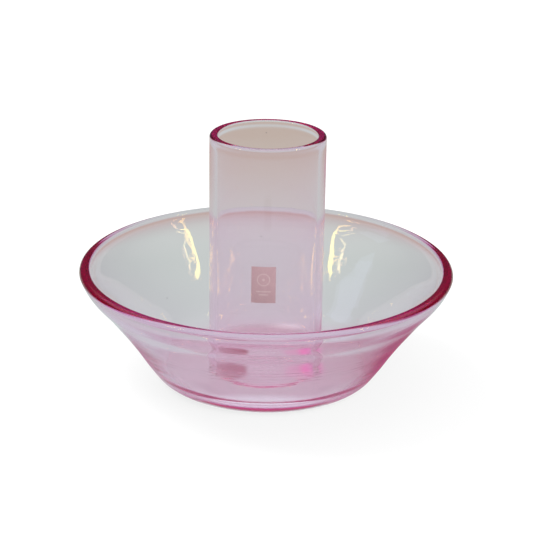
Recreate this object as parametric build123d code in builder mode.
"""Glass candlestick: a flared bowl of pale pink glass with an open glass tube standing loose on its floor.

The candle stands on the bowl's floor inside the tube. The tube is open at both ends and lifts out.
Frame: +Z up along the common axis, origin at the centre of the flat resting ring under the bowl,
label on the -Y side. All sizes are in millimetres.
"""

from build123d import *

import math
import os

# ---- bowl dimensions ----
RIM_R = 90.4  # outer radius of the lip
RIM_INNER_R = 85.19  # inner radius of the lip
BOWL_H = 57.0  # height of the lip above the table
LIP_ROUND = 2.36  # fire-polished rounding on the lip's outer edge
LIP_ROUND_IN = 1.48  # rounding on the lip's inner edge
LIP_FALL = 0.22  # the lip's top falls this much towards its inner edge
LIP_LEAN = (0.350, 0.937)  # direction in which the outer wall runs into the lip's rounding
FLOOR_Z = 5.5  # top of the floor, where the tube and the candle stand
FLOOR_FLAT_R = 43.0  # the floor is flat out to here, then turns up into the wall
FOOT_R = 45.5  # outer radius of the flat resting ring
FOOT_CORNER = (51.8, 1.7)  # (radius, height) on the turn from the ring into the wall
KICK_R = 35.0  # inner radius of the resting ring; the underside is hollowed inside it
KICK_H = 1.6  # how far the middle of the underside stands off the table
KICK_MID = (KICK_R * 0.55, KICK_H * 0.62)  # (radius, height) part way down the hollow

# outer wall, from the foot's corner to just under the lip: (radius, height)
OUTER_WALL = [
    (55.6, 5.2),
    (59.7, 11.1),
    (64.0, 17.8),
    (68.9, 25.0),
    (75.2, 33.4),
    (81.8, 41.7),
    (87.32, 48.4),
]
# inner wall, from under the lip down to the turn into the floor: (radius, height)
INNER_WALL = [
    (84.5, 51.92),
    (79.96, 45.3),
    (72.4, 35.7),
    (66.0, 27.2),
    (60.7, 19.6),
    (56.1, 12.7),
    (52.6, 8.6),
]

# ---- tube dimensions ----
TUBE_R = 27.7  # outer radius
TUBE_WALL = 3.4
TUBE_BORE_R = TUBE_R - TUBE_WALL
TUBE_L = 116.4  # length, standing on the bowl's floor
TUBE_TOP_ROUND = 1.4  # fire-polished rounding, outer edge of the top end
TUBE_TOP_ROUND_IN = 0.9  # inner edge of the top end
TUBE_FOOT_ROUND = 0.7  # both edges of the bottom end

# ---- label dimensions ----
LABEL_W = 11.9  # across, measured round the tube
LABEL_H = 18.2
LABEL_Z = 56.2  # height of its middle
LABEL_TURN = -2.5  # degrees round the tube from straight ahead
LABEL_T = 0.10  # film and adhesive together
LABEL_GAP = 0.01  # stands this far off the glass, so the two solids stay apart
LABEL_TEETH = 17  # pinked teeth down each side
LABEL_TOOTH = 0.28  # depth of a tooth
LABEL_CUT_MARGIN = 5  # the outline is extruded this far past the tube's outer radius


def make_bowl():
    """One spun shell, thicker at the floor and the foot's corner."""
    foot_edge = (FOOT_R, 0)
    lip_side = (RIM_R, BOWL_H - LIP_ROUND)
    lip_top_outer = (RIM_R - LIP_ROUND, BOWL_H)
    lip_inner_z = BOWL_H - LIP_FALL
    lip_top_inner = (RIM_INNER_R + LIP_ROUND_IN, lip_inner_z)
    lip_inner_side = (RIM_INNER_R, lip_inner_z - LIP_ROUND_IN)
    floor_edge = (FLOOR_FLAT_R, FLOOR_Z)
    # the corner and the outer wall share this direction where they meet
    wall_lean = (Vector(*OUTER_WALL[1]) - Vector(*OUTER_WALL[0])).normalized()
    wall_start = (wall_lean.X, wall_lean.Y)

    with BuildPart() as bowl:
        with BuildSketch(Plane.XZ):
            with BuildLine():
                # underside: shallow hollow, then the flat ring it rests on
                ThreePointArc((0, KICK_H), KICK_MID, (KICK_R, 0))
                Line((KICK_R, 0), foot_edge)
                # foot's corner, turning up into the flared wall
                Spline(foot_edge, FOOT_CORNER, OUTER_WALL[0], tangents=[(1, 0), wall_start])
                Spline(*OUTER_WALL, lip_side, tangents=[wall_start, LIP_LEAN])
                # lip: nearly flat on top, rounded on both edges
                RadiusArc(lip_side, lip_top_outer, -LIP_ROUND)
                Line(lip_top_outer, lip_top_inner)
                RadiusArc(lip_top_inner, lip_inner_side, -LIP_ROUND_IN)
                # inner wall, floor, and back down the axis
                Spline(lip_inner_side, *INNER_WALL, floor_edge, tangents=[(0, -1), (-1, 0)])
                Line(floor_edge, (0, FLOOR_Z))
                Line((0, FLOOR_Z), (0, KICK_H))
            make_face()
        revolve(axis=Axis.Z)
    return bowl.part


def make_candle_tube():
    """A length of tubing with both ends fire-polished."""
    with BuildPart() as tube:
        with BuildSketch(Plane.XY.offset(FLOOR_Z)):
            Circle(TUBE_R)
            Circle(TUBE_BORE_R, mode=Mode.SUBTRACT)
        extrude(amount=TUBE_L)
        # top end: outer edge (largest radius) first, then the inner one
        for pick, rounding in ((-1, TUBE_TOP_ROUND), (0, TUBE_TOP_ROUND_IN)):
            top_edges = tube.faces().sort_by(Axis.Z)[-1].edges().sort_by(SortBy.RADIUS)
            fillet(top_edges[pick], rounding)
        fillet(tube.faces().sort_by(Axis.Z)[0].edges(), TUBE_FOOT_ROUND)
    return tube.part


def make_label():
    """A small film sticker bent round the front of the tube, with pinked side edges."""
    inner_r = TUBE_R + LABEL_GAP
    half_chord = inner_r * math.sin(LABEL_W / 2 / inner_r)

    # one side from bottom to top, tips and notches in turn, then its mirror image back down
    steps = LABEL_TEETH * 2
    side = []
    for i in range(steps + 1):
        z = LABEL_Z - LABEL_H / 2 + LABEL_H * i / steps
        side.append((half_chord - (LABEL_TOOTH if i % 2 else 0.0), z))
    outline = side + [(-x, z) for x, z in reversed(side)]

    with BuildPart() as label:
        # a full sleeve of film, taller than the label
        with BuildSketch(Plane.XY.offset(LABEL_Z - LABEL_H)):
            Circle(inner_r + LABEL_T)
            Circle(inner_r, mode=Mode.SUBTRACT)
        extrude(amount=LABEL_H * 2)
        # keep only what lies within the outline on the front
        with BuildSketch(Plane.XZ.rotated((0, 0, LABEL_TURN))):
            with BuildLine():
                Polyline(*outline, close=True)
            make_face()
        extrude(amount=TUBE_R + LABEL_CUT_MARGIN, mode=Mode.INTERSECT)
    return label.part


# ---- one STEP per piece ----
os.makedirs("parts", exist_ok=True)
pieces = {"bowl": make_bowl(), "candle_tube": make_candle_tube(), "label": make_label()}
for name, piece in pieces.items():
    piece.label = name
    export_step(piece, f"parts/{name}.step")
